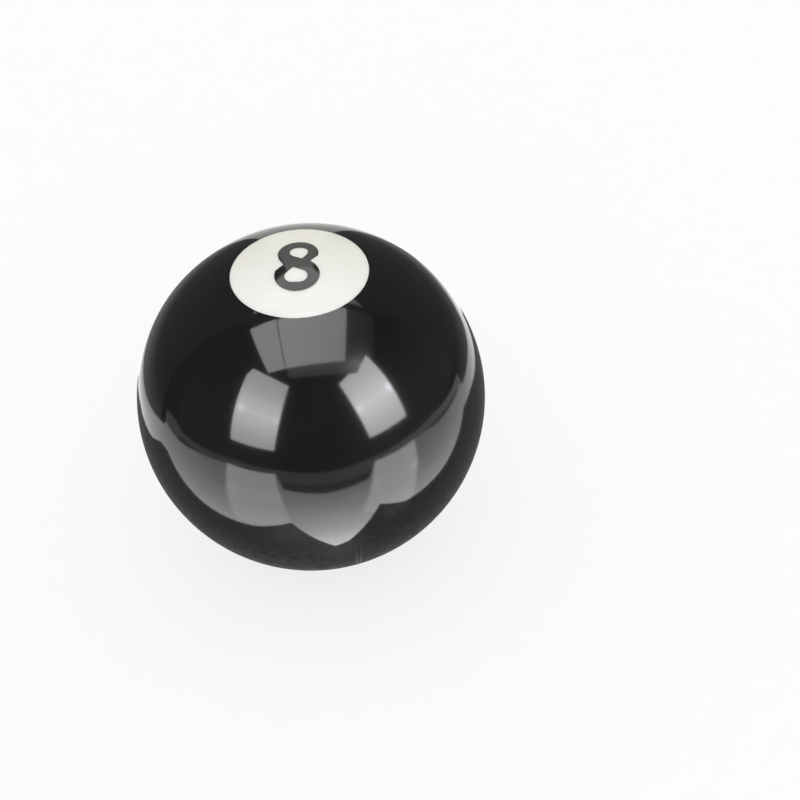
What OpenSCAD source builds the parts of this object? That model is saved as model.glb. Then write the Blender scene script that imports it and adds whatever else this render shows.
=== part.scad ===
// Numbered pool ball: a solid black resin ball with a round white plug set into each of two opposite
// sides, and a black numeral 8 inlaid in each plug, flush with the ball. Millimetres.
// Origin: the ball's centre. +Z goes out through the middle of the front plug.
// +Y points to the top of the front numeral, and of the back one too.

/* [Ball] */

// Diameter of the ball
ball_diameter = 52.5; // [50:0.25:60]

/* [Number plugs] */

// Diameter of the white spot, straight across its rim
spot_diameter = 20.3; // [18:0.1:24]
// Depth of the plug's flat bottom under the ball's surface, at the middle of the spot
plug_depth = 6; // [6:0.25:9]
// Radius of the rounded edge around the plug's bottom
plug_edge_radius = 1.5; // [0.5:0.25:2.5]

/* [Numeral] */

// Height of the numeral
numeral_height = 11; // [10:0.05:12]
// Middle of the numeral to the right of the spot's middle
numeral_right = -0.13; // [-0.5:0.01:0.5]
// Middle of the numeral above the spot's middle
numeral_up = -0.28; // [-0.5:0.01:0.5]
// Depth of the numeral's flat bottom under the ball's surface, at the middle of the spot
inlay_depth = 2.5; // [1:0.1:4]
// Width of the numeral's upper bowl
upper_bowl = 5.9; // [5.6:0.05:6.2]
// Width of the numeral's lower bowl
lower_bowl = 6.6; // [6.3:0.05:6.9]
// Stroke at the upper left and the lower right, where the numeral's diagonal runs in
heavy_stroke = 1.75; // [1.5:0.05:1.9]
// Stroke at the upper right and the lower left
light_stroke = 1.5; // [1.3:0.05:1.7]
// Stroke over the upper eye and under the lower eye
cap_stroke = 1.7; // [1.5:0.05:1.8]

/* [Numeral details] */

// Waist of the numeral, from its middle to the left notch
waist_left = 2.1; // [2:0.05:2.2]
// Waist of the numeral, from its middle to the right notch
waist_right = 1.95; // [1.85:0.05:2.05]
// Radius of the notches' rounded ends
notch_radius = 0.27; // [0.2:0.01:0.35]
// Height of the left notch above the numeral's middle
left_notch_up = -0.05; // [-0.2:0.05:0.1]
// Height of the right notch above the numeral's middle
right_notch_up = 0.6; // [0.5:0.05:0.7]
// Slope of the left notch's upper side, from the vertical, in degrees
left_upper_slope = 28; // [25:1:31]
// Slope of the left notch's lower side, from the vertical, in degrees
left_lower_slope = 45; // [40:1:48]
// Slope of the right notch's upper side, from the vertical, in degrees
right_upper_slope = 38; // [34:1:42]
// Slope of the right notch's lower side, from the vertical, in degrees
right_lower_slope = 54; // [50:1:58]
// Slope of the straight left side over the left notch, from the vertical, in degrees
left_side_slope = 13; // [10:0.5:16]
// Radius of the upper eye's two round corners; the lower eye's are larger, in step with its bowl
eye_corner_radius = 1.1; // [0.95:0.01:1.15]
// Radius of the eyes' pointed end
eye_tip_radius = 0.45; // [0.35:0.05:0.6]
// Eye's pointed end, to the light stroke's side of the bowl's middle
eye_tip_side = 0.5; // [0.3:0.05:0.7]
// Eye's pointed end, from the bowl's middle towards the waist
eye_tip_reach = 0.9; // [0.75:0.05:1]

/* [Hidden] */

ball_radius = ball_diameter / 2;
spot_radius = spot_diameter / 2;
plug_bottom = ball_radius - plug_depth;
inlay_bottom = ball_radius - inlay_depth;
// How far the cutting shapes reach past the ball's surface
clear = 1;

upper_radius = upper_bowl / 2;
lower_radius = lower_bowl / 2;
upper_middle = numeral_height / 2 - upper_radius;
lower_middle = lower_radius - numeral_height / 2;
// Length of the straight left side, which ends inside the lower bowl
left_side_length = 2.2;
// The straight sides start this far inside their arcs, so that they cross them cleanly
side_inset = 0.004;
// How far a notch's sides reach out from its rounded end
notch_reach = 3.2;

black_resin = [0.03, 0.03, 0.03];
white_resin = [0.93, 0.92, 0.87];
numeral_black = [0.05, 0.05, 0.05];

$fn = 180;

// The point of a circle [x, y, radius] that faces an angle
function on_circle(c, angle) = [c[0] + c[2] * cos(angle), c[1] + c[2] * sin(angle)];

// The angle that the straight side from circle a to circle b faces
function side_angle(a, b) =
    atan2(b[1] - a[1], b[0] - a[0]) - acos((a[2] - b[2]) / norm([b[0] - a[0], b[1] - a[1]]));

// A circle [x, y, radius] made smaller by the inset
function inset(c) = [c[0], c[1], c[2] - side_inset];

// The two ends of the straight side from circle a to circle b
function side_ends(a, b) =
    [on_circle(inset(a), side_angle(a, b)), on_circle(inset(b), side_angle(a, b))];

// The eye's three corner circles, in a bowl of this radius with the waist below it, anticlockwise:
// the pointed end, the corner by the light stroke and the corner by the heavy stroke
function eye_corners(bowl_radius) =
    let (
        round = eye_corner_radius * bowl_radius / upper_radius,
        height = bowl_radius - cap_stroke - round
    )
    [
        [eye_tip_side, -eye_tip_reach, eye_tip_radius],
        [bowl_radius - light_stroke - round, height, round],
        [heavy_stroke + round - bowl_radius, height, round]
    ];

// An eye: a triangle of straight sides around its three corner circles
module eye(bowl_radius) {
    corners = eye_corners(bowl_radius);
    for (c = corners) {
        translate([c[0], c[1]]) circle(r = c[2]);
    }
    polygon([for (i = [0:2]) each side_ends(corners[i], corners[(i + 1) % 3])]);
}

// The straight left side, which leaves the upper bowl smoothly and runs down to the lower bowl
module left_side() {
    start = on_circle(inset([0, upper_middle, upper_radius]), 180 + left_side_slope);
    end = start + left_side_length * [sin(left_side_slope), -cos(left_side_slope)];
    polygon([start, end, [0, upper_middle]]);
}

// A notch that's open to the right: a rounded end, and two straight sides that leave it at slopes
// from the vertical
module notch(upper_slope, lower_slope) {
    circle(r = notch_radius);
    end = inset([0, 0, notch_radius]);
    upper = on_circle(end, 180 - upper_slope);
    lower = on_circle(end, 180 + lower_slope);
    polygon([
        upper,
        lower,
        lower + notch_reach * [sin(lower_slope), -cos(lower_slope)],
        upper + notch_reach * [sin(upper_slope), cos(upper_slope)]
    ]);
}

// The figure 8, with its middle at the origin
module figure_eight() {
    difference() {
        union() {
            translate([0, upper_middle]) circle(r = upper_radius);
            translate([0, lower_middle]) circle(r = lower_radius);
            left_side();
        }
        translate([-waist_left - notch_radius, left_notch_up]) {
            mirror([1, 0]) notch(left_upper_slope, left_lower_slope);
        }
        translate([waist_right + notch_radius, right_notch_up]) {
            notch(right_upper_slope, right_lower_slope);
        }
        translate([0, upper_middle]) eye(upper_radius);
        translate([0, lower_middle]) rotate(180) eye(lower_radius);
    }
}

// The whole ball as one solid
module ball_solid() {
    sphere(r = ball_radius);
}

// The space for a plug: a round socket with a rounded edge at its bottom, open past the surface
module plug_space() {
    rotate_extrude() {
        translate([0, plug_bottom]) {
            square([spot_radius - plug_edge_radius, plug_depth + clear]);
        }
        translate([0, plug_bottom + plug_edge_radius]) {
            square([spot_radius, plug_depth + clear - plug_edge_radius]);
        }
        translate([spot_radius - plug_edge_radius, plug_bottom + plug_edge_radius]) {
            circle(r = plug_edge_radius);
        }
    }
}

// The space for a numeral, open past the surface
module numeral_space() {
    translate([numeral_right, numeral_up, inlay_bottom]) {
        linear_extrude(height = inlay_depth + clear) figure_eight();
    }
}

// A plug for the front: white, with a pocket for the numeral around the eyes' two islands
module number_plug() {
    difference() {
        intersection() {
            ball_solid();
            plug_space();
        }
        numeral_space();
    }
}

// A numeral for the front
module numeral() {
    intersection() {
        ball_solid();
        numeral_space();
    }
}

// Turns a front piece to the back, where it reads upright too
module to_back() {
    rotate([0, 180, 0]) children();
}

// Black cast resin, with the two sockets
module ball_body() {
    color(black_resin) difference() {
        ball_solid();
        plug_space();
        to_back() plug_space();
    }
}

module front_number_plug() {
    color(white_resin) number_plug();
}

module back_number_plug() {
    color(white_resin) to_back() number_plug();
}

module front_numeral() {
    color(numeral_black) numeral();
}

module back_numeral() {
    color(numeral_black) to_back() numeral();
}

ball_body();
front_number_plug();
back_number_plug();
front_numeral();
back_numeral();
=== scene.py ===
"""The numbered pool ball's looks: polished cast resin, in a pale studio with soft lights around it.

Lengths are in metres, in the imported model's frame. Studio directions are an azimuth and an elevation in
degrees: azimuth 0 is the camera's side of the ball, and azimuths grow towards the camera's right.
"""

import math

import bmesh
import bpy
from mathutils import Matrix, Vector
from mathutils.geometry import delaunay_2d_cdt


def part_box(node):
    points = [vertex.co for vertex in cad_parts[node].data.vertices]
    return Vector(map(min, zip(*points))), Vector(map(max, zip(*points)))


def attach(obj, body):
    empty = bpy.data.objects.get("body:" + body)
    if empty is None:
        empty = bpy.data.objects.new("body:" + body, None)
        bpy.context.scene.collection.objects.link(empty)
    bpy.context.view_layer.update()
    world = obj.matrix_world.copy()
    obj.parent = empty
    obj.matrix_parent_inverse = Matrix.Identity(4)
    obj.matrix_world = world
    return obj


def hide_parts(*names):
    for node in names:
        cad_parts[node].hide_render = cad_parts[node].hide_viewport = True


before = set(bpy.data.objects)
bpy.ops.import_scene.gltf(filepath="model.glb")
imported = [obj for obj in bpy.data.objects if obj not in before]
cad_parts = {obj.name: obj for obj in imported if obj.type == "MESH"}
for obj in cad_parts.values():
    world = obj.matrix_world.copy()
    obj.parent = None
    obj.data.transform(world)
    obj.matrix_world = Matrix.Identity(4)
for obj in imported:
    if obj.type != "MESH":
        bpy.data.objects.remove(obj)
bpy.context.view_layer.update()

# ---------------------------------------------------------------------------------------------------
# Sizes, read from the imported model
# ---------------------------------------------------------------------------------------------------

BALL_RADIUS = max(v.co.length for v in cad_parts["ball_body"].data.vertices)
SPOT_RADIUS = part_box("front_number_plug")[1].x
PLUG_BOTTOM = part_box("front_number_plug")[0].z
INLAY_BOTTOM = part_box("front_numeral")[0].z
PLUG_EDGE_RADIUS = 0.0015  # the rounded edge around a plug's bottom

# How finely the pieces are meshed: the steps around Z, from rim to rim and around a plug's edge, and the
# rings of points on its flat bottom, as shares of the bottom's radius
ROUND_STEPS = 288
SIDE_STEPS = 160
EDGE_STEPS = 8
BOTTOM_RINGS = (0.66, 0.33)
# The distance between the spot's inner points, and how far they stay from the numeral's borders
DISC_GRID = 0.0007
DISC_CLEARANCE = 0.0003

# Points closer than this are one point, and edges sharper than this have no smooth shading across them
SAME_POINT = 1e-8
SHARP_EDGE = math.radians(30)
# How near a point has to be to the sphere or to the numeral's bottom to be on it, and how finely the
# packed numeral's points are told apart
ON_SURFACE = 1e-7
# The spot's net is worked out in millimetres, where its tolerance fits
MILLIMETRES = 1000
NET_TOLERANCE = 1e-6

TO_BACK = Matrix.Rotation(math.pi, 3, "Y")


# ---------------------------------------------------------------------------------------------------
# Mesh helpers
# ---------------------------------------------------------------------------------------------------


def lift(x, y):
    """The point of the ball's surface over (x, y), on the front side."""
    return Vector((x, y, math.sqrt(BALL_RADIUS**2 - x * x - y * y)))


def ring(radius, z):
    """One turn of points around the Z axis."""
    turn = [2 * math.pi * i / ROUND_STEPS for i in range(ROUND_STEPS)]
    return [Vector((radius * math.cos(a), radius * math.sin(a), z)) for a in turn]


def strip(lower, upper):
    """The quads between two closed rows of vertex numbers."""
    n = len(lower)
    return [(lower[i], lower[(i + 1) % n], upper[(i + 1) % n], upper[i]) for i in range(n)]


def socket_profile():
    """(radius, z) from the front rim down the socket's wall and round its edge to the bottom."""
    edge_z = PLUG_BOTTOM + PLUG_EDGE_RADIUS
    edge_r = SPOT_RADIUS - PLUG_EDGE_RADIUS
    steps = [0.5 * math.pi * i / EDGE_STEPS for i in range(EDGE_STEPS + 1)]
    return [
        (edge_r + PLUG_EDGE_RADIUS * math.cos(a), edge_z - PLUG_EDGE_RADIUS * math.sin(a))
        for a in steps
    ] + [(edge_r * share, PLUG_BOTTOM) for share in BOTTOM_RINGS]


def add_piece(name, node, slot, material, points, faces, turn=None):
    """A closed piece that stands for one CAD node. Its outer surface gets the sphere's exact normals."""
    if turn is not None:
        points = [turn @ p for p in points]
    bm = bmesh.new()
    verts = [bm.verts.new(p) for p in points]
    for f in faces:
        bm.faces.new([verts[i] for i in f])
    bmesh.ops.remove_doubles(bm, verts=bm.verts, dist=SAME_POINT)
    bmesh.ops.recalc_face_normals(bm, faces=bm.faces)
    for f in bm.faces:
        f.smooth = True
    for e in bm.edges:
        if not e.is_manifold:
            raise ValueError(f"{name} is not closed")
        e.smooth = e.calc_face_angle() < SHARP_EDGE
    mesh = bpy.data.meshes.new(name)
    bm.to_mesh(mesh)
    bm.free()

    normals = [Vector()] * len(mesh.loops)
    for polygon in mesh.polygons:
        corners = [mesh.vertices[i].co for i in polygon.vertices]
        if all(abs(c.length - BALL_RADIUS) < ON_SURFACE for c in corners):
            for loop, corner in zip(polygon.loop_indices, corners):
                normals[loop] = corner.normalized()
    mesh.normals_split_custom_set(normals)
    mesh.materials.append(material)

    piece = bpy.data.objects.new(name, mesh)
    bpy.context.scene.collection.objects.link(piece)
    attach(piece, "root")
    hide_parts(node)


# ---------------------------------------------------------------------------------------------------
# The pieces' shapes
# ---------------------------------------------------------------------------------------------------


def ball_shape():
    """The black ball, turned around Z: the outer surface between the two rims, and both sockets."""
    rim = math.asin(SPOT_RADIUS / BALL_RADIUS)
    socket = socket_profile()
    outside = [
        (BALL_RADIUS * math.sin(a), BALL_RADIUS * math.cos(a))
        for a in (rim + (math.pi - 2 * rim) * i / SIDE_STEPS for i in range(SIDE_STEPS + 1))
    ]
    profile = socket[::-1] + outside + [(r, -z) for r, z in socket]
    points = [Vector((0, 0, PLUG_BOTTOM))]
    faces = []
    rows = []
    for r, z in profile:
        rows.append(range(len(points), len(points) + ROUND_STEPS))
        points += ring(r, z)
    points.append(Vector((0, 0, -PLUG_BOTTOM)))
    for lower, upper in zip(rows, rows[1:]):
        faces += strip(lower, upper)
    for pole, row in ((0, rows[0]), (len(points) - 1, rows[-1])):
        faces += [(pole, row[i], row[(i + 1) % ROUND_STEPS]) for i in range(ROUND_STEPS)]
    return points, faces


def turned_area(row):
    """The area inside a closed row of points, which is positive if they run anticlockwise."""
    return 0.5 * sum(a.x * b.y - a.y * b.x for a, b in zip(row, row[1:] + row[:1]))


def numeral_outlines():
    """The numeral's outline and its two eyes, as closed rows of (x, y): the borders of its flat bottom."""
    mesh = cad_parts["front_numeral"].data
    spot = {}
    number = []
    for v in mesh.vertices:
        key = tuple(round(value / ON_SURFACE) for value in v.co)
        number.append(spot.setdefault(key, v.index))
    sides = set()
    for p in mesh.polygons:
        if all(abs(mesh.vertices[i].co.z - INLAY_BOTTOM) < ON_SURFACE for i in p.vertices):
            ids = [number[i] for i in p.vertices]
            for a, b in zip(ids, ids[1:] + ids[:1]):
                if (b, a) in sides:
                    sides.remove((b, a))
                else:
                    sides.add((a, b))
    follow = dict(sides)
    rows = []
    while follow:
        start, at = follow.popitem()
        row = [start]
        while at != start:
            row.append(at)
            at = follow.pop(at)
        rows.append([mesh.vertices[i].co.xy for i in row])
    rows = [row if turned_area(row) > 0 else row[::-1] for row in rows]
    return sorted(rows, key=turned_area, reverse=True)


def disc_mesh(outlines):
    """The front spot as one net of triangles.

    Gives its points, its closed borders, and the triangles of the plug and of the numeral.
    """
    rim = [p.xy for p in ring(SPOT_RADIUS, 0)]
    rows = [rim] + outlines
    flat = [p for row in rows for p in row]
    loops = []
    start = 0
    for row in rows:
        loops.append(list(range(start, start + len(row))))
        start += len(row)
    edges = [(a, b) for loop in loops for a, b in zip(loop, loop[1:] + loop[:1])]
    border = [p for row in outlines for p in row]
    for k in range(int(SPOT_RADIUS / DISC_GRID)):
        radius = k * DISC_GRID
        count = max(1, round(2 * math.pi * k))
        for i in range(count):
            p = Vector((radius, 0))
            p.rotate(Matrix.Rotation(2 * math.pi * i / count, 2))
            if all((p - q).length > DISC_CLEARANCE for q in border):
                flat.append(p)
    made = delaunay_2d_cdt([p * MILLIMETRES for p in flat], edges, loops, 0, NET_TOLERANCE)
    verts, _, triangles, orig_verts, _, orig_faces = made
    place = {}
    for i, origins in enumerate(orig_verts):
        for o in origins:
            place[o] = i
    plug, numeral = [], []
    for triangle, inside in zip(triangles, orig_faces):
        # Border 1 is the numeral's outline, and borders 2 and 3 are its eyes
        in_numeral = 1 in inside and 2 not in inside and 3 not in inside
        (numeral if in_numeral else plug).append(tuple(triangle))
    points = [lift(*(v / MILLIMETRES)) for v in verts]
    for i in loops[0]:
        points[place[i]] = Vector((rim[i].x, rim[i].y, math.sqrt(BALL_RADIUS**2 - SPOT_RADIUS**2)))
    loops = [[place[i] for i in loop] for loop in loops]
    return points, loops, plug, numeral


def inlay(net):
    """What a numeral and its pocket share: their bottom and their walls.

    Gives the bottom's points, which are numbered on from the net's points, and the faces.
    """
    points, loops, _, numeral = net
    corners = sorted({i for triangle in numeral for i in triangle})
    under = {i: len(points) + n for n, i in enumerate(corners)}
    faces = [tuple(under[i] for i in triangle) for triangle in numeral]
    for loop in loops[1:]:
        faces += strip(loop, [under[i] for i in loop])
    return [Vector((points[i].x, points[i].y, INLAY_BOTTOM)) for i in corners], faces


def plug_shape(net):
    """A white plug: its part of the spot, the numeral's pocket, the wall and the rounded bottom."""
    net_points, loops, plug, _ = net
    bottom_points, inlay_faces = inlay(net)
    points = net_points + bottom_points
    faces = plug + inlay_faces
    row = loops[0]
    for r, z in socket_profile():
        lower = list(range(len(points), len(points) + ROUND_STEPS))
        points += ring(r, z)
        faces += strip(row, lower)
        row = lower
    points.append(Vector((0, 0, PLUG_BOTTOM)))
    faces += [(len(points) - 1, row[i], row[(i + 1) % ROUND_STEPS]) for i in range(ROUND_STEPS)]
    return compact(points, faces)


def numeral_shape(net):
    """A numeral: its part of the spot, its walls and its flat bottom."""
    net_points, _, _, numeral = net
    bottom_points, inlay_faces = inlay(net)
    return compact(net_points + bottom_points, numeral + inlay_faces)


def compact(points, faces):
    """Leaves out the points that no face uses."""
    used = sorted({i for f in faces for i in f})
    new = {old: n for n, old in enumerate(used)}
    return [points[i] for i in used], [tuple(new[i] for i in f) for f in faces]


# ---------------------------------------------------------------------------------------------------
# Material helpers
# ---------------------------------------------------------------------------------------------------


def new_nodes(name, world=False):
    """A new material, or the world, with an empty node tree."""
    block = bpy.data.worlds.new(name) if world else bpy.data.materials.new(name)
    block.use_nodes = True
    block.node_tree.nodes.clear()
    return block, block.node_tree


def node(tree, kind, settings=None, **inputs):
    """Adds a node. Its inputs are sockets to link or values to set.

    An input's name has _ for each space in it, or it is i and the input's number.
    """
    made = tree.nodes.new(kind)
    for key, value in (settings or {}).items():
        setattr(made, key, value)
    for key, value in inputs.items():
        socket = made.inputs[int(key[1:])] if key[0] == "i" and key[1:].isdigit() else None
        socket = socket or made.inputs[key.replace("_", " ")]
        if isinstance(value, bpy.types.NodeSocket):
            tree.links.new(value, socket)
        else:
            socket.default_value = value
    return made


def maths(tree, operation, a, b=0.0, c=0.0, clamp=False):
    """A Math node's result."""
    settings = {"operation": operation, "use_clamp": clamp}
    return node(tree, "ShaderNodeMath", settings, i0=a, i1=b, i2=c).outputs[0]


def noise(tree, place, scale, detail=2.0, roughness=0.5):
    """A noise pattern's value, from 0 to 1."""
    made = node(
        tree, "ShaderNodeTexNoise", Vector=place, Scale=scale, Detail=detail, Roughness=roughness
    )
    return made.outputs["Fac"]


def between(tree, value, low, high, start=0.3, end=0.7):
    """Takes the values from start to end to those from low to high. Noise is mostly from 0.3 to 0.7."""
    return node(
        tree,
        "ShaderNodeMapRange",
        Value=value,
        From_Min=start,
        From_Max=end,
        To_Min=low,
        To_Max=high,
    ).outputs["Result"]


def blend_colours(tree, share, first, second):
    """The mix of two colours by a share from 0 to 1. A colour is three values or a socket."""
    made = node(tree, "ShaderNodeMix", {"data_type": "RGBA"}, Factor=share)
    for side, colour in (("A", first), ("B", second)):
        socket = next(s for s in made.inputs if s.name == side and s.type == "RGBA")
        if isinstance(colour, bpy.types.NodeSocket):
            tree.links.new(colour, socket)
        else:
            socket.default_value = (*colour, 1)
    return next(s for s in made.outputs if s.type == "RGBA")


def distance(tree, place, middle):
    """How far a place is from a middle."""
    settings = {"operation": "DISTANCE"}
    return node(tree, "ShaderNodeVectorMath", settings, i0=place, i1=middle).outputs["Value"]


def axes(tree, place):
    """The X, Y and Z of a place."""
    return node(tree, "ShaderNodeSeparateXYZ", Vector=place).outputs


def put_out(tree, kind, shader):
    """Makes a shader the surface of the tree's output, which is for a material or for the world."""
    tree.links.new(shader.outputs[0], node(tree, kind).inputs["Surface"])


# ---------------------------------------------------------------------------------------------------
# The three resins
# ---------------------------------------------------------------------------------------------------

# Specks of dust: the cells per metre, a speck's radius in cells, and the share of cells that have none
DUST_CELLS = 260.0
DUST_SIZE = 0.022
DUST_FREE = 0.72
# How much of the resin's colour the dust covers, and how much rougher the resin is there
DUST_COLOUR = (0.32, 0.31, 0.30)
DUST_COVER = 0.2
DUST_ROUGHNESS = 0.5

# Hairline scratches: the noise above this is a hairline, which is rougher by this much
HAIRLINE_LEVEL = 0.74
HAIRLINE_ROUGHNESS = 0.05

# The haze over the polish, which is a duller coat
COAT_ROUGHNESS = 0.15
COAT_IOR = 1.5

# How the white resin scatters light: its share, its depth in metres and how far each colour goes
SCATTER_SHARE = 0.6
SCATTER_DEPTH = 0.0008
SCATTER_COLOURS = (1.0, 0.95, 0.9)
# How much of the white resin's mix of colours is cloud
CREAM_CLOUD = 0.3


def cloud_and_painted_shade_share(tree, place, white):
    """How much of its lighter colour a resin has: random cloud, and on the white resin painted shade too.
    """
    share = between(tree, noise(tree, place, scale=120.0, detail=4.0, roughness=0.6), 0, 1)
    if not white:
        return share
    # Painted shade: the white resin is painted a little darker and creamier towards the top of its number,
    # where less light falls, and lighter towards the camera
    height = axes(tree, place)[1]
    lighter = between(tree, height, 1, 0, -0.8 * SPOT_RADIUS, 0.9 * SPOT_RADIUS)
    cloud = maths(tree, "MULTIPLY", maths(tree, "SUBTRACT", share, 0.5), CREAM_CLOUD)
    return maths(tree, "ADD", cloud, lighter, clamp=True)


def dust_specks(tree, place):
    """1 in the specks of dust, which are small dots in some cells of a coarse net."""
    cells = node(tree, "ShaderNodeTexVoronoi", Vector=place, Scale=DUST_CELLS, Randomness=1.0)
    dot = maths(tree, "LESS_THAN", cells.outputs["Distance"], DUST_SIZE)
    chosen = node(tree, "ShaderNodeSeparateColor", Color=cells.outputs["Color"]).outputs[0]
    return maths(tree, "MULTIPLY", dot, maths(tree, "GREATER_THAN", chosen, DUST_FREE))


def polish(tree, place, rough, dust):
    """The roughness: uneven polish, with dull hairlines from handling and dull dust.

    The hairlines come from a fine noise that is drawn out in one direction.
    """
    smear = noise(tree, place, scale=55.0, detail=3.0, roughness=0.55)
    uneven = between(tree, smear, rough * 0.75, rough * 1.35)
    stretched = node(
        tree, "ShaderNodeMapping", Vector=place, Rotation=(0.5, 0.9, 0.3), Scale=(1.0, 1.0, 0.05)
    ).outputs[0]
    lines = noise(tree, stretched, scale=4200.0, detail=1.0, roughness=0.4)
    hairline = maths(tree, "GREATER_THAN", lines, HAIRLINE_LEVEL)
    total = maths(tree, "ADD", uneven, maths(tree, "MULTIPLY", hairline, HAIRLINE_ROUGHNESS))
    return maths(tree, "ADD", total, maths(tree, "MULTIPLY", dust, DUST_ROUGHNESS))


def resin(name, dark, light, rough, ior, specular, haze, white=False):
    """Polished cast resin: clouded colour, uneven polish, hairline scratches and a few specks of dust, and
    on the white resin painted shade.
    """
    material, tree = new_nodes(name)
    place = node(tree, "ShaderNodeTexCoord").outputs["Object"]
    dust = dust_specks(tree, place)
    clean = blend_colours(tree, cloud_and_painted_shade_share(tree, place, white), dark, light)
    colour = blend_colours(tree, maths(tree, "MULTIPLY", dust, DUST_COVER), clean, DUST_COLOUR)

    # The faint ripple that polishing leaves
    ripple = noise(tree, place, scale=900.0)
    bump = node(tree, "ShaderNodeBump", Height=ripple, Strength=0.03, Distance=0.00002)

    shader = node(
        tree,
        "ShaderNodeBsdfPrincipled",
        Base_Color=colour,
        Roughness=polish(tree, place, rough, dust),
        Normal=bump.outputs[0],
        IOR=ior,
        Specular_IOR_Level=specular,
        Coat_Weight=haze,
        Coat_Roughness=COAT_ROUGHNESS,
        Coat_IOR=COAT_IOR,
    )
    if white:
        shader.inputs["Subsurface Weight"].default_value = SCATTER_SHARE
        shader.inputs["Subsurface Radius"].default_value = SCATTER_COLOURS
        shader.inputs["Subsurface Scale"].default_value = SCATTER_DEPTH
    put_out(tree, "ShaderNodeOutputMaterial", shader)
    return material


BLACK_RESIN = resin(
    "black_resin",
    dark=(0.0085, 0.0085, 0.0087),
    light=(0.0105, 0.0105, 0.0109),
    rough=0.07,
    ior=1.53,
    specular=0.5,
    haze=0.12,
)
WHITE_RESIN = resin(
    "white_resin",
    dark=(0.885, 0.873, 0.770),
    light=(0.905, 0.896, 0.868),
    rough=0.16,
    ior=1.5,
    specular=0.15,
    haze=0.03,
    white=True,
)
NUMERAL_BLACK = resin(
    "numeral_black",
    dark=(0.0150, 0.0138, 0.0125),
    light=(0.0190, 0.0178, 0.0165),
    rough=0.08,
    ior=1.53,
    specular=0.5,
    haze=0.04,
)

# ---------------------------------------------------------------------------------------------------
# The five pieces
# ---------------------------------------------------------------------------------------------------

net = disc_mesh(numeral_outlines())
add_piece("black_ball", "ball_body", "black_resin", BLACK_RESIN, *ball_shape())
for side, turn in (("front", None), ("back", TO_BACK)):
    add_piece(
        f"{side}_spot", f"{side}_number_plug", "white_resin", WHITE_RESIN, *plug_shape(net), turn
    )
    add_piece(
        f"{side}_eight", f"{side}_numeral", "numeral_black", NUMERAL_BLACK, *numeral_shape(net), turn
    )

# ---------------------------------------------------------------------------------------------------
# The camera
# ---------------------------------------------------------------------------------------------------

# The camera's direction from the ball and its roll in degrees, and its distance
VIEW_AZIMUTH = 5.5
VIEW_ELEVATION = 41.7
VIEW_ROLL = 5.5
VIEW_DISTANCE = 16 * BALL_RADIUS
# Where the ball's middle is from the middle of the view: to the right and up
BALL_OFFSET = (-0.01342, 0.0005)
# The lens and the sensor's width in millimetres, and the nearest and the farthest that the camera sees
LENS = 125
SENSOR_WIDTH = 36
NEAREST = 0.01
FARTHEST = 20


def pointer(azimuth, elevation):
    """A unit vector for an azimuth and an elevation in degrees. Azimuth 0 is -Y."""
    a, e = math.radians(azimuth), math.radians(elevation)
    return Vector((math.sin(a) * math.cos(e), -math.cos(a) * math.cos(e), math.sin(e)))


def direction(azimuth, elevation):
    """A unit vector from the ball, for a studio direction in degrees."""
    return pointer(azimuth + VIEW_AZIMUTH, elevation)


def add_camera():
    """A long lens on the ball. It's turned a little, so that the ball sits left of the middle."""
    data = bpy.data.cameras.new("camera")
    data.lens, data.sensor_width = LENS, SENSOR_WIDTH
    data.clip_start, data.clip_end = NEAREST, FARTHEST
    camera = bpy.data.objects.new("camera", data)
    bpy.context.scene.collection.objects.link(camera)
    back = direction(0, VIEW_ELEVATION)
    roll = Matrix.Rotation(math.radians(-VIEW_ROLL), 3, "Z")
    look = (-back).to_track_quat("-Z", "Y").to_matrix() @ roll
    to_ball = Vector((*BALL_OFFSET, -VIEW_DISTANCE))
    turn = to_ball.rotation_difference(Vector((0, 0, -1))).to_matrix()
    camera.matrix_world = (look @ turn).to_4x4()
    camera.location = back * VIEW_DISTANCE
    bpy.context.scene.camera = camera


add_camera()

# ---------------------------------------------------------------------------------------------------
# The studio's cards, which the polished ball reflects
# ---------------------------------------------------------------------------------------------------

# The studio's own axes: X to the camera's right and Y away from the camera
STUDIO = Matrix.Rotation(math.radians(VIEW_AZIMUTH), 4, "Z")
# How far the soft boxes, the panels, the backdrop and the front light are from the ball
FAR = 4.0
WHITE = (1.0, 1.0, 1.0)


def stage_mesh(name, points, faces, material, place=None):
    """A piece of the studio."""
    mesh = bpy.data.meshes.new(name)
    mesh.from_pydata(points, [], faces)
    mesh.materials.append(material)
    made = bpy.data.objects.new(name, mesh)
    made.matrix_world = place or STUDIO
    bpy.context.scene.collection.objects.link(made)
    return made


def card(name, points, material, place=None, faces=None, lights=False):
    """A lit card that only the polished surfaces reflect, or one that only lights the matt ones."""
    made = stage_mesh(name, points, faces or [tuple(range(len(points)))], material, place)
    made.visible_camera = False
    made.visible_diffuse = lights
    made.visible_glossy = not lights
    made.visible_transmission = False
    made.visible_volume_scatter = False
    made.visible_shadow = False


def glow(name, tint, strength, lights=False):
    """A lit surface's material. strength is a number, or a function that makes a socket for it.

    Unless it lights matt things, its light ends at the polished surface that reflects it.
    """
    material, tree = new_nodes(name)
    place = node(tree, "ShaderNodeTexCoord").outputs["Object"]
    level = strength(tree, place) if callable(strength) else strength
    if not lights:
        matt_bounces = node(tree, "ShaderNodeLightPath").outputs["Diffuse Depth"]
        level = maths(tree, "MULTIPLY", level, maths(tree, "LESS_THAN", matt_bounces, 0.5))
    shader = node(tree, "ShaderNodeEmission", Color=(*tint, 1), Strength=level)
    put_out(tree, "ShaderNodeOutputMaterial", shader)
    return material


def facing(towards):
    """The place of a card that lies in a direction from the ball, square to it."""
    place = towards.to_track_quat("Z", "Y").to_matrix().to_4x4()
    place.translation = towards * FAR
    return place


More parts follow.
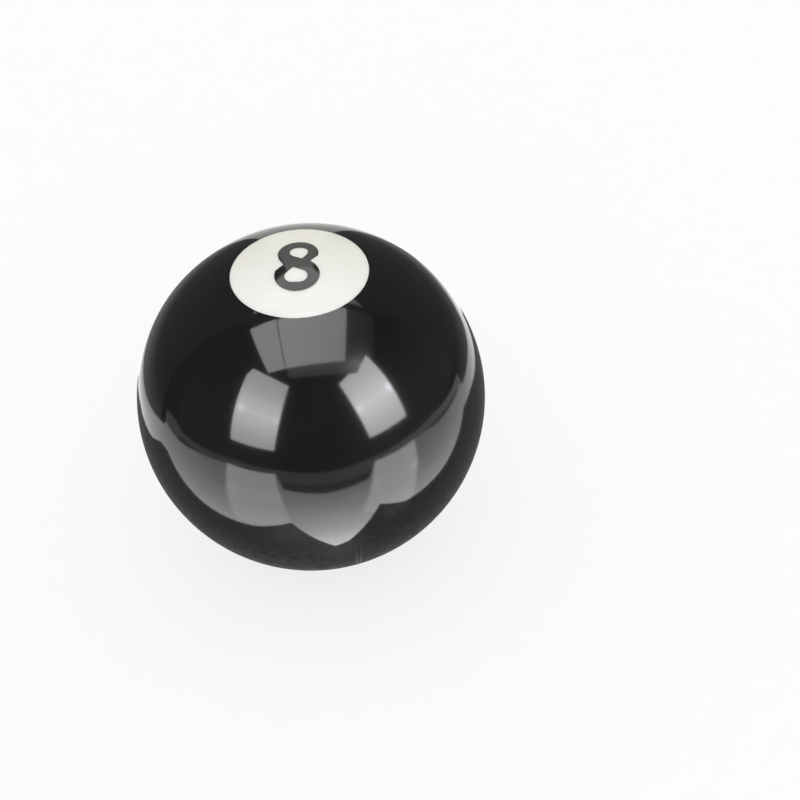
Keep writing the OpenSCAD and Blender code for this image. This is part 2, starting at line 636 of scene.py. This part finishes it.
def hump(tree, value, middle, width):
    """1 where a value is at the middle, falling smoothly on both sides, to 0.37 one width away."""
    off = maths(tree, "DIVIDE", maths(tree, "SUBTRACT", value, middle), width)
    square = maths(tree, "MULTIPLY", off, off)
    return maths(tree, "EXPONENT", maths(tree, "MULTIPLY", square, -1.0))


# A soft box's brighter parts, as widths for hump: the wide glow and the thin line across its middle, with
# the line's light, and a lamp's spot along and across the line
GLOW_REACH = 0.22 * FAR
LINE_REACH = 0.018 * FAR
LINE_LIGHT = 0.8
LAMP_REACH = (0.035 * FAR, 0.045 * FAR)
SOFTBOX_TINT = (0.99, 0.985, 1.02)


def softbox(name, middle, corners, edge, centre, lamps):
    """A soft box that faces the ball, with its middle and its corners in studio directions.

    It's brighter across its middle, where its lamps show through. A lamp is its place along the box, in
    distances from the ball, and its power.
    """

    def level(tree, place):
        x, y, _ = axes(tree, place)
        wide = maths(tree, "MULTIPLY", hump(tree, y, 0.0, GLOW_REACH), centre - edge)
        line = maths(tree, "MULTIPLY", hump(tree, y, 0.0, LINE_REACH), LINE_LIGHT)
        total = maths(tree, "ADD", maths(tree, "ADD", wide, edge), line)
        for at, power in lamps:
            along = hump(tree, x, at * FAR, LAMP_REACH[0])
            spot = maths(tree, "MULTIPLY", along, hump(tree, y, 0.0, LAMP_REACH[1]))
            total = maths(tree, "MULTIPLY_ADD", spot, power, total)
        return total

    towards = direction(*middle)
    place = facing(towards)
    rays = [direction(*corner) for corner in corners]
    points = [place.inverted() @ (ray * FAR / ray.dot(towards)) for ray in rays]
    card(name, points, glow(name, SOFTBOX_TINT, level), place)


def overhead(name, corners, tint, strength):
    """A level panel over the ball. Its corners are in panel heights, to the right and away."""
    card(name, [(x * FAR, y * FAR, FAR) for x, y in corners], glow(name, tint, strength))


def across(left, right, start, end):
    """A brightness that changes evenly from left to right, between two places in panel heights."""

    def level(tree, place):
        return between(tree, axes(tree, place)[0], left, right, start * FAR, end * FAR)

    return level


def flat(name, corners, material, drop):
    """Something flat on the table, at a small drop below the ball's lowest point.

    Its corners are in ball radii, to the right and away from the camera.
    """
    z = -BALL_RADIUS - drop
    card(name, [(x * BALL_RADIUS, y * BALL_RADIUS, z) for x, y in corners], material)


def wing_level(tree, place):
    """The brightness beside and in front of the panel, with a soft glow at the right front corner."""
    x, y, _ = axes(tree, place)
    side = between(tree, x, 0.32, 0.15, 0.5 * FAR, 0.88 * FAR)
    inner = between(tree, y, 0.45, 0.0, -0.5 * FAR, -0.42 * FAR)
    outer = between(tree, y, 0.2, 1.0, -0.72 * FAR, -0.54 * FAR)
    total = maths(tree, "MULTIPLY_ADD", inner, outer, side)
    across_corner = hump(tree, x, 0.72 * FAR, 0.2 * FAR)
    corner = maths(tree, "MULTIPLY", across_corner, hump(tree, y, -0.55 * FAR, 0.2 * FAR))
    return maths(tree, "MULTIPLY_ADD", corner, 1.4, total)


softbox(
    "left_softbox",
    (-41, 26),
    [(-54.5, 4.5), (-26, 5.5), (-20.5, 48), (-60.5, 49), (-62, 44)],
    edge=5.2,
    centre=8.6,
    lamps=((-0.2, 3.0), (0.245, 1.6)),
)
softbox(
    "right_softbox",
    (47.5, 26),
    [(34, 5.5), (61, 4.5), (65, 48.5), (52.5, 47), (47, 45), (39, 47.5), (26.5, 45)],
    edge=7.0,
    centre=10.6,
    lamps=((-0.225, 4.0), (0.2, 6.0)),
)

overhead(
    "overhead_panel",
    [(-0.27, 0.11), (0.46, 0.24), (0.46, -0.2), (0.48, -0.49), (0.15, -0.52), (-0.28, -0.54)],
    tint=(1.0, 0.985, 0.98),
    strength=across(3.85, 3.1, -0.1, 0.5),
)
overhead(
    "overhead_left_panel",
    [(-0.62, 0.12), (-0.28, 0.12), (-0.29, -0.54), (-0.55, -0.56)],
    tint=(0.99, 0.99, 1.02),
    strength=3.7,
)
overhead(
    "overhead_wing",
    [(0.46, 0.22), (0.85, 0.26), (0.93, -0.35), (0.85, -0.62), (0.72, -0.72), (-0.28, -0.7)]
    + [(-0.28, -0.54), (0.15, -0.52), (0.48, -0.49), (0.46, -0.2)],
    tint=(1.0, 1.0, 1.02),
    strength=wing_level,
)
overhead(
    "overhead_back_panel",
    [(-0.15, 0.91), (0.14, 1.04), (0.18, 0.88), (0.56, 0.42), (0.69, 0.33), (-0.54, 0.31)],
    tint=(1.0, 0.985, 0.965),
    strength=across(2.35, 1.2, 0.2, 0.65),
)


# The backdrop's left and right sides in degrees from straight away, and its top in distances from the ball
BACKDROP_SIDES = (-8, 8.5)
BACKDROP_TOP = 1.1
# Its light at the ball's height, and how much more there is one distance above or below
BACKDROP_LIGHT = 0.74
BACKDROP_RISE = 0.8


def backdrop_level(tree, place):
    """The backdrop's brightness, which grows above and below the ball's height."""
    height = maths(tree, "DIVIDE", axes(tree, place)[2], FAR)
    square = maths(tree, "MULTIPLY", height, height)
    return maths(tree, "MULTIPLY_ADD", square, BACKDROP_RISE, BACKDROP_LIGHT)


def add_backdrop():
    """A narrow white backdrop behind the ball."""
    left, right = (math.tan(math.radians(angle)) * FAR for angle in BACKDROP_SIDES)
    top = BACKDROP_TOP * FAR
    card(
        "backdrop",
        [(left, FAR, -FAR), (right, FAR, -FAR), (right, FAR, top), (left, FAR, top)],
        glow("backdrop", (1.0, 0.995, 0.97), backdrop_level),
    )


add_backdrop()

WALL_DISTANCE = 1.5 * FAR
WALL_STEPS = 12


def wall_steps(first, last):
    """The angles from the first to the last, in even steps."""
    return [first + (last - first) * i / WALL_STEPS for i in range(WALL_STEPS + 1)]


def wall(name, azimuths, elevations, level):
    """A dim wall around the studio, as part of a large globe between two azimuths and two elevations."""
    points = [
        pointer(azimuth, elevation) * WALL_DISTANCE
        for elevation in wall_steps(*elevations)
        for azimuth in wall_steps(*azimuths)
    ]
    row = WALL_STEPS + 1
    starts = [j * row + i for j in range(WALL_STEPS) for i in range(WALL_STEPS)]
    faces = [(k, k + 1, k + row + 1, k + row) for k in starts]
    card(name, points, glow(name, WHITE, level), faces=faces)


def back_wall_level(tree, place):
    """The back wall's brightness, which is higher at its foot."""
    return between(tree, axes(tree, place)[2], 0.25, 0.1, -0.6 * FAR, -0.3 * FAR)


def side_wall_level(tree, place):
    """The side walls' brightness, which fades upwards and towards the dark place around the camera."""
    x, _, z = axes(tree, place)
    right = between(tree, x, 0.0, 0.1, 0.3 * FAR, 0.9 * FAR)
    left = between(tree, x, 0.0, 0.035, -0.3 * FAR, -0.9 * FAR)
    side = maths(tree, "ADD", right, left)
    return maths(tree, "MULTIPLY_ADD", side, between(tree, z, 1, 0, 0.3 * FAR, FAR), 0.03)


wall("back_wall", (110, 250), (-48, 89), back_wall_level)
wall("side_walls", (-95, 110), (-8, 60), side_wall_level)

# ---------------------------------------------------------------------------------------------------
# The table that the polished ball reflects, with the ball's shadow on it
# ---------------------------------------------------------------------------------------------------

# The pool of light in front of the ball: its middle and its reach in ball radii, and the light at its
# middle, which is added to the table's own
POOL_MIDDLE = (0.2, -1.15)
POOL_REACH = 1.3
POOL_LIGHT = 3.2
TABLE_LIGHT = 1.27
# The light in the ball's shadow
SHADOW_LIGHT = 0.148
# Where the shadow's edge is lighter, in ball radii: to the right, away, the reach and the light
SHADOW_EDGES = ((-0.4, -1.6, 0.4, 0.35), (0.15, -1.2, 0.25, 0.25), (1, -1.4, 0.25, 0.2))


def on_table(x, y):
    """A place on the table, from ball radii to the right and away."""
    return (x * BALL_RADIUS, y * BALL_RADIUS, -BALL_RADIUS)


def table_level(tree, place):
    """The lit table's brightness: highest in the pool, fading behind the ball, and a little cloudy."""
    away = distance(tree, place, on_table(*POOL_MIDDLE))
    off = maths(tree, "DIVIDE", away, POOL_REACH * BALL_RADIUS)
    fall = maths(tree, "MULTIPLY_ADD", off, off, 1.0)
    level = maths(tree, "ADD", maths(tree, "DIVIDE", POOL_LIGHT, fall), TABLE_LIGHT)
    # The fading starts sooner at the left
    x, y, _ = axes(tree, place)
    behind = maths(tree, "SUBTRACT", y, maths(tree, "MULTIPLY", x, 0.3))
    fade = between(tree, behind, 1.0, 0.5, 2.0 * BALL_RADIUS, 2.75 * BALL_RADIUS)
    cloudy = between(tree, noise(tree, place, scale=45.0, detail=4.0, roughness=0.6), 0.95, 1.05)
    return maths(tree, "MULTIPLY", maths(tree, "MULTIPLY", level, fade), cloudy)


def table_material():
    """Glossy table, which glows by itself and mirrors the soft boxes."""
    material, tree = new_nodes("lit_table")
    place = node(tree, "ShaderNodeTexCoord").outputs["Object"]
    shader = node(
        tree,
        "ShaderNodeBsdfPrincipled",
        Base_Color=(0, 0, 0, 1),
        Roughness=0.09,
        IOR=2.25,
        Emission_Color=(1.0, 0.994, 0.985, 1),
        Emission_Strength=table_level(tree, place),
    )
    put_out(tree, "ShaderNodeOutputMaterial", shader)
    return material


def dim_level(tree, place):
    """The outer table's brightness, which grows to the right."""
    return between(tree, axes(tree, place)[0], 0.43, 0.74, 0.5 * BALL_RADIUS, 6 * BALL_RADIUS)


def shadow_level(tree, place):
    """The brightness of the ball's shadow: uneven, and lighter at its edge in front of the ball."""
    level = SHADOW_LIGHT
    for x, y, reach, more in SHADOW_EDGES:
        near = hump(tree, distance(tree, place, on_table(x, y)), 0.0, reach * BALL_RADIUS)
        level = maths(tree, "MULTIPLY_ADD", near, more, level)
    uneven = between(tree, noise(tree, place, scale=500.0, detail=5.0, roughness=0.7), 0.6, 1.4)
    return maths(tree, "MULTIPLY", level, uneven)


flat(
    "dim_table",
    [(-4.3, 0.5), (-7.5, 1.3), (-8.5, 0.3), (-7.3, -0.9), (-8.8, -6.2), (-8.6, -8.4), (-4.2, -10.8)]
    + [(0.2, -9.5), (4.5, -10), (9.6, -7.8), (10.8, -3), (7.5, 1.1), (7.3, 1.9), (4.4, 1)],
    glow("dim_table", WHITE, dim_level),
    drop=0.002,
)
flat(
    "dark_gap",
    [(-4, 0), (-5.9, -0.6), (-5.7, -2.7), (-2, -5.3), (0, -4.9), (4, -5), (6.9, -2.4), (6.8, -1.6)]
    + [(5.7, 0.8), (4, 1)],
    glow("dark_gap", WHITE, strength=0.22),
    drop=0.0015,
)
flat(
    "lit_table",
    [(-3.4, -7.6), (-1.4, -4), (0.1, -3.6), (1.9, -3.8), (4.3, -6.7), (6.3, -4.2), (6.5, -2.9)]
    + [(5.7, -1.4), (5.3, 1.1), (4.6, 1.1), (3.7, 2), (2.6, 2.6), (2.2, 3.5), (1.6, 3.5), (0.6, 2.6)]
    + [(-1, 2.6), (-2.4, 2), (-4.4, 0.6), (-4.9, 0.6), (-4.8, -0.6), (-5.4, -2), (-5.9, -4.7)],
    table_material(),
    drop=0.001,
)
flat(
    "ball_shadow",
    [(-2.8, 0), (-1.6, -0.8), (-0.9, -1.35), (-0.5, -1.8), (0.1, -1.15), (0.25, -1.2), (1, -1.8)]
    + [(1.2, -1.3), (1.9, -0.7), (3.3, 0.3), (3.1, 0.9), (1.7, 2.2), (0.9, 1.9), (0, 1.3)]
    + [(-0.9, 1.4), (-1.4, 1.6), (-1.9, 1.3), (-2.3, 0.6), (-2.8, 0.3)],
    glow("ball_shadow", WHITE, shadow_level),
    drop=0.0001,
)

# Two thin gleams in the shadow, which run in under the ball. In ball radii: each gleam's left edge at its
# near and its far end, how far away these ends are, and how wide they are
GLEAMS = ((0.3, 0.18), (0.37, 0.2))
GLEAM_ENDS = (-1.23, -0.5)
GLEAM_WIDTHS = (0.025, 0.012)


def gleam(lefts):
    """A thin gleam in the ball's shadow."""
    left_edge = list(zip(lefts, GLEAM_ENDS))
    right_edge = [(x + width, y) for (x, y), width in zip(left_edge, GLEAM_WIDTHS)]
    material = glow("gleam", WHITE, strength=0.28)
    flat("gleam", left_edge + right_edge[::-1], material, drop=0.00005)


for edges in GLEAMS:
    gleam(edges)

# ---------------------------------------------------------------------------------------------------
# The pale floor, and the light that falls on matt surfaces
# ---------------------------------------------------------------------------------------------------

# Half the floor's width
FLOOR_SIZE = 8.0
# The floor's own light, and how much of the other light it gives back, with its faint grain
FLOOR_OWN = 0.78
FLOOR_PALE = 0.21
FLOOR_GRAIN = 0.004
# What the camera sees past the floor, and what the polish reflects where there's no card
PAST_FLOOR = 0.985
DARK_STUDIO = 0.04
# The light from all around, and the soft light in front, with its elevation and half its width in degrees
SKY = 0.82
FRONT_LIGHT = 1.75
FRONT_ELEVATION = 35
FRONT_SPREAD = 28


def add_floor():
    """A plain pale floor, which the camera sees under the ball and the polish doesn't reflect."""
    material, tree = new_nodes("pale_floor")
    place = node(tree, "ShaderNodeTexCoord").outputs["Object"]
    grain = between(tree, noise(tree, place, scale=400.0, detail=3.0, roughness=0.6), 0, 1)
    darker, lighter = (FLOOR_PALE - FLOOR_GRAIN,) * 3, (FLOOR_PALE + FLOOR_GRAIN,) * 3
    matt = node(tree, "ShaderNodeBsdfDiffuse", Color=blend_colours(tree, grain, darker, lighter))
    # The floor's own light counts where it's seen or falls on the ball, but isn't passed back from there
    matt_bounces = node(tree, "ShaderNodeLightPath").outputs["Diffuse Depth"]
    level = maths(tree, "MULTIPLY", maths(tree, "LESS_THAN", matt_bounces, 1.5), FLOOR_OWN)
    own = node(tree, "ShaderNodeEmission", Strength=level)
    total = node(tree, "ShaderNodeAddShader", i0=matt.outputs[0], i1=own.outputs[0])
    put_out(tree, "ShaderNodeOutputMaterial", total)
    s, z = FLOOR_SIZE, -BALL_RADIUS
    corners = [(-s, -s, z), (s, -s, z), (s, s, z), (-s, s, z)]
    floor = stage_mesh("floor", corners, [(0, 1, 2, 3)], material)
    floor.visible_glossy = False


def add_front_light():
    """A large soft light at the camera's side, which only lights matt surfaces."""
    half = math.tan(math.radians(FRONT_SPREAD)) * FAR
    corners = [(-half, -half, 0), (half, -half, 0), (half, half, 0), (-half, half, 0)]
    material = glow("front_light", WHITE, FRONT_LIGHT, lights=True)
    card("front_light", corners, material, facing(direction(0, FRONT_ELEVATION)), lights=True)


def add_world():
    """Pale where the camera looks past the floor, soft light on matt surfaces, and dark in reflections."""
    world, tree = new_nodes("studio", world=True)
    path = node(tree, "ShaderNodeLightPath").outputs
    seen = maths(tree, "MULTIPLY", path["Is Camera Ray"], PAST_FLOOR)
    matt = maths(tree, "MAXIMUM", path["Is Diffuse Ray"], path["Is Shadow Ray"])
    light = maths(tree, "MAXIMUM", maths(tree, "MULTIPLY_ADD", matt, SKY, seen), DARK_STUDIO)
    shader = node(tree, "ShaderNodeBackground", Color=(*WHITE, 1), Strength=light)
    put_out(tree, "ShaderNodeOutputWorld", shader)
    bpy.context.scene.world = world


add_floor()
add_front_light()
add_world()
bpy.context.scene.view_settings.view_transform = "Standard"
